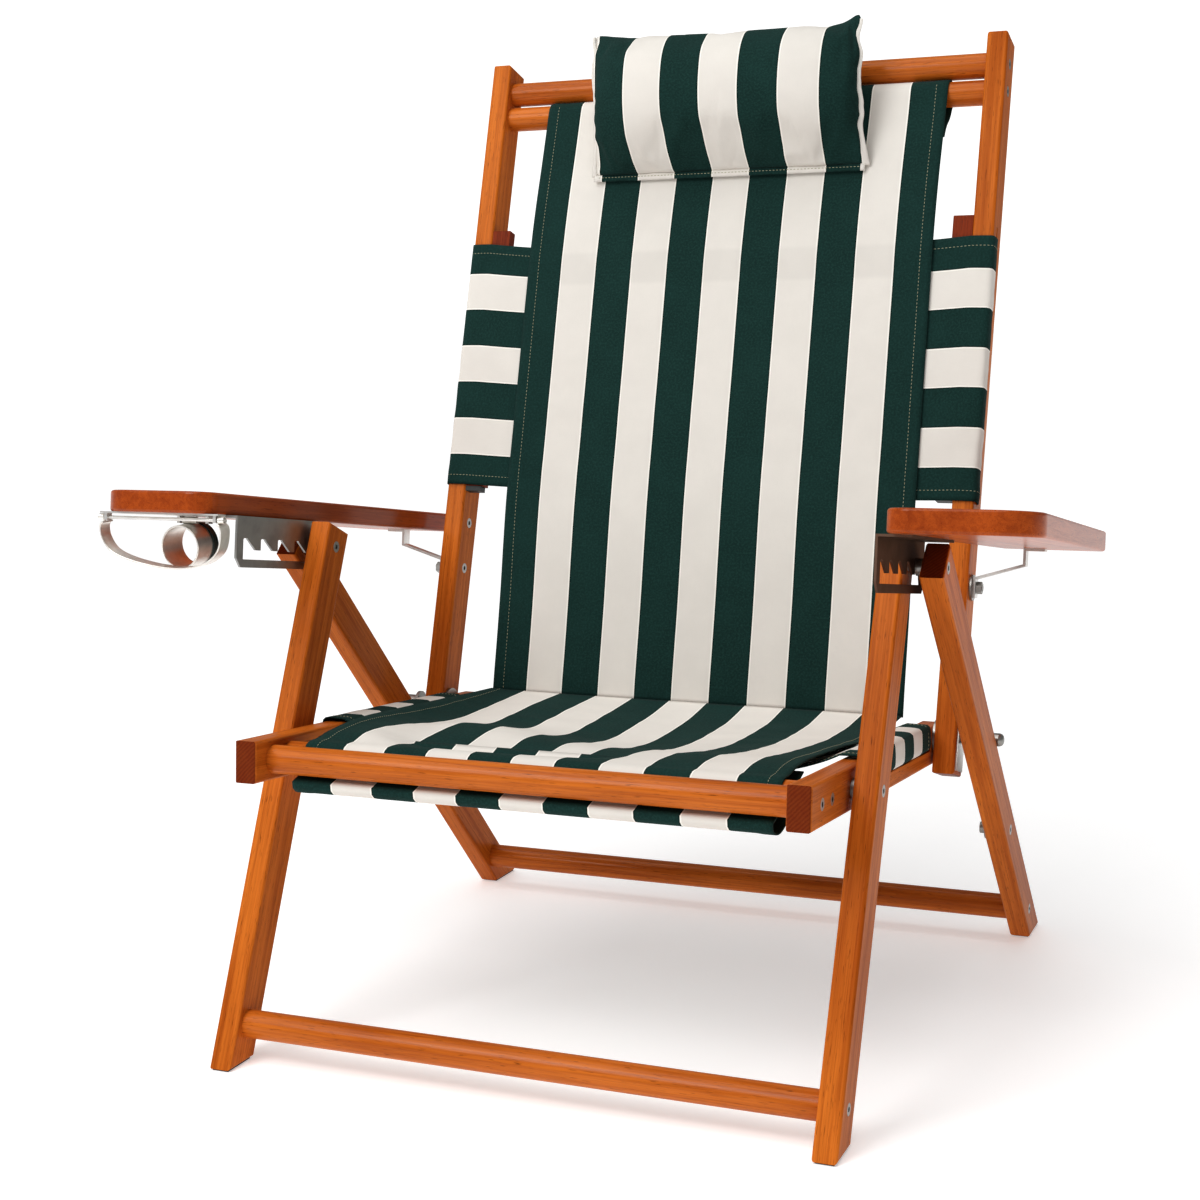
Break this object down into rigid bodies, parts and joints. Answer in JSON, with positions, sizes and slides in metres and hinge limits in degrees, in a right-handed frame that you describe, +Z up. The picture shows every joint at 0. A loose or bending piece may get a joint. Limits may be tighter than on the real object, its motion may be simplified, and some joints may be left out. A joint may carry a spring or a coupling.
{
  "type": "folding deck chair",
  "caption": "Folding wooden deck chair with a striped cloth sling, notched reclining arms, head pillow and swing-down cup holder.",
  "frame": {"origin": "on the floor, under the middle of the chair's outline", "axes": "+Z up; the sitter faces -Y; +X is the sitter's left"},
  "size_m": [0.8044, 0.6323, 0.9011],
  "materials": {
    "wood": "oiled",
    "cloth": "woven",
    "steel": "satin",
    "foot_pads": "matte",
    "black_plastic": "matte"
  },
  "bodies": {
    "front_legs": {"front_leg_left": "wood", "front_leg_right": "wood", "front_rung": "wood", "front_rung_screws": "steel", "leg_bolts_inner": "steel", "seat_pivot_bolts": "steel", "seat_pivot_washers": "steel", "front_foot_pads": "foot_pads"},
    "rear_legs": {"rear_leg_left": "wood", "rear_leg_right": "wood", "rear_rung": "wood", "rear_rung_screws": "steel", "leg_bolts_outer": "steel", "link_bolts": "steel", "rear_foot_pads": "foot_pads"},
    "links": {"link_left": "steel", "link_right": "steel", "stop_bolts": "steel"},
    "seat_frame": {"seat_rail_left": "wood", "seat_rail_right": "wood", "seat_front_dowel": "wood", "seat_sling_dowel": "wood", "seat_rear_dowel": "wood", "seat_front_dowel_screws": "steel", "seat_sling_dowel_screws": "steel", "sling_seat": "cloth", "seat_band": "cloth"},
    "back_pivots": {"back_pivot_bolts": "steel"},
    "back_frame": {"back_rail_left": "wood", "back_rail_right": "wood", "back_top_dowel": "wood", "back_sling_dowel": "wood", "back_top_dowel_screws": "steel", "back_sling_dowel_screws": "steel", "back_upper_bolts": "steel", "back_pivot_plate_left": "steel", "back_pivot_plate_right": "steel", "back_battens": "wood", "batten_caps": "black_plastic", "sling_back": "cloth", "back_band": "cloth", "pillow": "cloth"},
    "arm_pivots": {"arm_pivot_bolts": "steel"},
    "arms": {"arm_left": "wood", "arm_right": "wood", "notch_plate_left": "steel", "notch_plate_right": "steel", "arm_strap_left": "steel", "arm_strap_right": "steel", "cup_bracket": "steel"},
    "cup_hoop_body": {"cup_hoop": "steel"},
    "cup_ring_body": {"cup_ring": "steel", "cup_ring_rim": "black_plastic"}
  },
  "joints": [
    {"name": "fold", "type": "hinge", "parent": "front_legs", "child": "seat_frame", "pos_m": [0, -0.18564, 0.25251], "axis": [-1, 0, 0], "range_deg": [0, 92], "deforming": ["sling_seat"]},
    {"name": "rear_leg_swing", "type": "hinge", "parent": "front_legs", "child": "rear_legs", "pos_m": [0, -0.11173, 0.4185], "axis": [-1, 0, 0], "range_deg": [0, 69.35]},
    {"name": "link_swing", "type": "hinge", "parent": "rear_legs", "child": "links", "pos_m": [0, 0.15935, 0.13811], "axis": [-1, 0, 0], "range_deg": [0, 107.9]},
    {"name": "back_fold", "type": "hinge", "parent": "seat_frame", "child": "back_pivots", "pos_m": [0, 0.09704, 0.2368], "axis": [-1, 0, 0], "range_deg": [-89.05, 0]},
    {"name": "recline", "type": "hinge", "parent": "back_pivots", "child": "back_frame", "pos_m": [0, 0.09704, 0.2368], "axis": [-1, 0, 0], "range_deg": [0, 53], "deforming": ["sling_back"]},
    {"name": "arm_fold", "type": "hinge", "parent": "back_frame", "child": "arm_pivots", "pos_m": [0, 0.1373, 0.36848], "axis": [-1, 0, 0], "range_deg": [0, 96.22]},
    {"name": "arm_swing", "type": "hinge", "parent": "arm_pivots", "child": "arms", "pos_m": [0, 0.1373, 0.36848], "axis": [-1, 0, 0], "range_deg": [-41.69, 0]},
    {"name": "hoop_swing", "type": "hinge", "parent": "arms", "child": "cup_hoop_body", "pos_m": [0, -0.2499, 0.45569], "axis": [-1, 0, 0], "range_deg": [-10, 75]},
    {"name": "ring_swing", "type": "hinge", "parent": "arms", "child": "cup_ring_body", "pos_m": [0, -0.21623, 0.45096], "axis": [-1, 0, 0], "range_deg": [-15, 12]}
  ],
  "couplings": [
    {"joint": "rear_leg_swing", "follows": "fold", "ratio": 0.75326},
    {"joint": "link_swing", "follows": "fold", "ratio": 1.1723},
    {"joint": "back_fold", "follows": "fold", "ratio": -0.96739},
    {"joint": "arm_fold", "follows": "fold", "ratio": 1.0453},
    {"joint": "arm_swing", "follows": "recline", "ratio": -0.78567}
  ]
}
